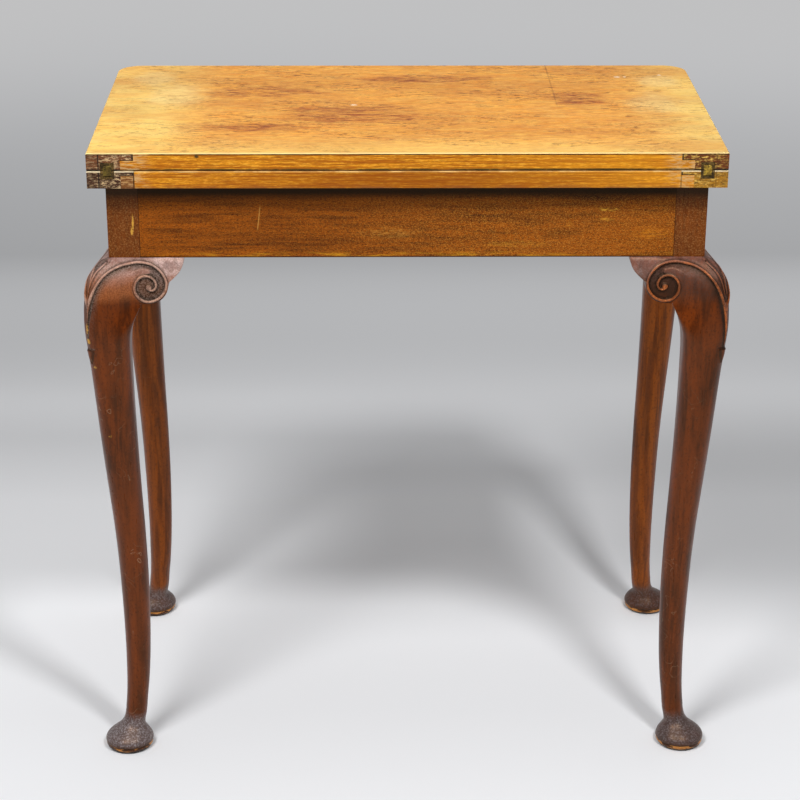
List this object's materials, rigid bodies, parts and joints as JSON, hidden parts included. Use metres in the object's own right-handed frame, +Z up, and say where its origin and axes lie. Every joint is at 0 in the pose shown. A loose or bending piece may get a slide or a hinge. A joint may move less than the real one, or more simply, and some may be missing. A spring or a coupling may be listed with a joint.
{
  "type": "folding card table",
  "caption": "Closed fold-over card table: double top on link hinges, plain frieze, pull-out back frame and cabriole legs with scrolled knees and pad feet.",
  "frame": {"origin": "on the floor, under the middle of the closed table", "axes": "+X to the right along the hinge edge, +Y from the hinge edge to the rounded front edge, +Z up"},
  "size_m": [0.7082, 0.3942, 0.73],
  "materials": {
    "top_wood": "polished, faded honey brown",
    "patch_wood": "polished, dark",
    "frame_wood": "polished red brown",
    "leg_wood": "polished dark red brown",
    "inner_wood": "plain, unpolished",
    "brass": "aged",
    "iron": "dark, aged",
    "playing_cloth": "felted wool"
  },
  "bodies": {
    "front_frame": {"lower_leaf": "top_wood", "playing_cloth_lower": "playing_cloth", "edge_patches_lower": "patch_wood", "link_hinge_plates_lower": "brass", "link_hinge_pins_lower": "brass", "link_hinge_screws_lower": "brass", "front_rail": "frame_wood", "side_rail_right": "frame_wood", "side_rail_left": "frame_wood", "inner_rail": "inner_wood", "glue_blocks": "inner_wood", "top_screws": "iron", "leg_front_right": "leg_wood", "leg_front_left": "leg_wood", "ear_front_rail_right": "leg_wood", "ear_front_rail_left": "leg_wood", "ear_front_side_right": "leg_wood", "ear_front_side_left": "leg_wood", "fold_hinge_leaves_rail": "iron", "fold_hinge_screws_rail": "iron", "fold_hinge_pins_rail": "iron"},
    "fold_front_right": {"fold_board_front_right": "inner_wood", "fold_hinge_leaves_front_right": "iron", "fold_hinge_screws_front_right": "iron", "fold_hinge_pin_knee_right": "iron"},
    "fold_rear_right": {"fold_board_rear_right": "inner_wood", "fold_hinge_leaves_rear_right": "iron", "fold_hinge_screws_rear_right": "iron"},
    "fold_front_left": {"fold_board_front_left": "inner_wood", "fold_hinge_leaves_front_left": "iron", "fold_hinge_screws_front_left": "iron", "fold_hinge_pin_knee_left": "iron"},
    "fold_rear_left": {"fold_board_rear_left": "inner_wood", "fold_hinge_leaves_rear_left": "iron", "fold_hinge_screws_rear_left": "iron"},
    "back_frame": {"back_rail": "frame_wood", "leg_back_right": "leg_wood", "leg_back_left": "leg_wood", "ear_back_rail_right": "leg_wood", "ear_back_rail_left": "leg_wood", "ear_back_side_right": "leg_wood", "ear_back_side_left": "leg_wood", "fold_hinge_leaves_leg": "iron", "fold_hinge_screws_leg": "iron", "fold_hinge_pins_leg": "iron"},
    "hinge_link_right": {"hinge_link_right": "brass"},
    "hinge_link_left": {"hinge_link_left": "brass"},
    "upper_leaf": {"upper_leaf": "top_wood", "playing_cloth_upper": "playing_cloth", "edge_patches_upper": "patch_wood", "link_hinge_plates_upper": "brass", "link_hinge_pins_upper": "brass", "link_hinge_screws_upper": "brass"}
  },
  "joints": [
    {"name": "frame_pull_out", "type": "hinge", "parent": "front_frame", "child": "fold_front_right", "pos_m": [0.3048, -0.095, 0.6495], "axis": [0, 0, 1], "range_deg": [0, 90]},
    {"name": "rear_board_right", "type": "hinge", "parent": "fold_front_right", "child": "fold_rear_right", "pos_m": [0.1004, -0.1134, 0.6495], "axis": [0, 0, -1], "range_deg": [0, 180]},
    {"name": "back_frame_right", "type": "hinge", "parent": "fold_rear_right", "child": "back_frame", "pos_m": [0.3048, -0.1318, 0.6495], "axis": [0, 0, 1], "range_deg": [0, 90]},
    {"name": "front_board_left", "type": "hinge", "parent": "front_frame", "child": "fold_front_left", "pos_m": [-0.3048, -0.095, 0.6495], "axis": [0, 0, -1], "range_deg": [0, 90]},
    {"name": "rear_board_left", "type": "hinge", "parent": "fold_front_left", "child": "fold_rear_left", "pos_m": [-0.1004, -0.1134, 0.6495], "axis": [0, 0, 1], "range_deg": [0, 180]},
    {"name": "top_opening", "type": "hinge", "parent": "front_frame", "child": "hinge_link_right", "pos_m": [0.318, -0.1838, 0.7084], "axis": [1, 0, 0], "range_deg": [0, 90]},
    {"name": "upper_leaf_turn", "type": "hinge", "parent": "hinge_link_right", "child": "upper_leaf", "pos_m": [0.318, -0.1838, 0.7132], "axis": [1, 0, 0], "range_deg": [0, 90]},
    {"name": "link_left_turn", "type": "hinge", "parent": "front_frame", "child": "hinge_link_left", "pos_m": [-0.318, -0.1838, 0.7084], "axis": [1, 0, 0], "range_deg": [0, 90]}
  ],
  "couplings": [
    {"joint": "rear_board_right", "follows": "frame_pull_out", "ratio": 2},
    {"joint": "back_frame_right", "follows": "frame_pull_out", "ratio": 1},
    {"joint": "front_board_left", "follows": "frame_pull_out", "ratio": 1},
    {"joint": "rear_board_left", "follows": "frame_pull_out", "ratio": 2},
    {"joint": "upper_leaf_turn", "follows": "top_opening", "ratio": 1},
    {"joint": "link_left_turn", "follows": "top_opening", "ratio": 1}
  ]
}
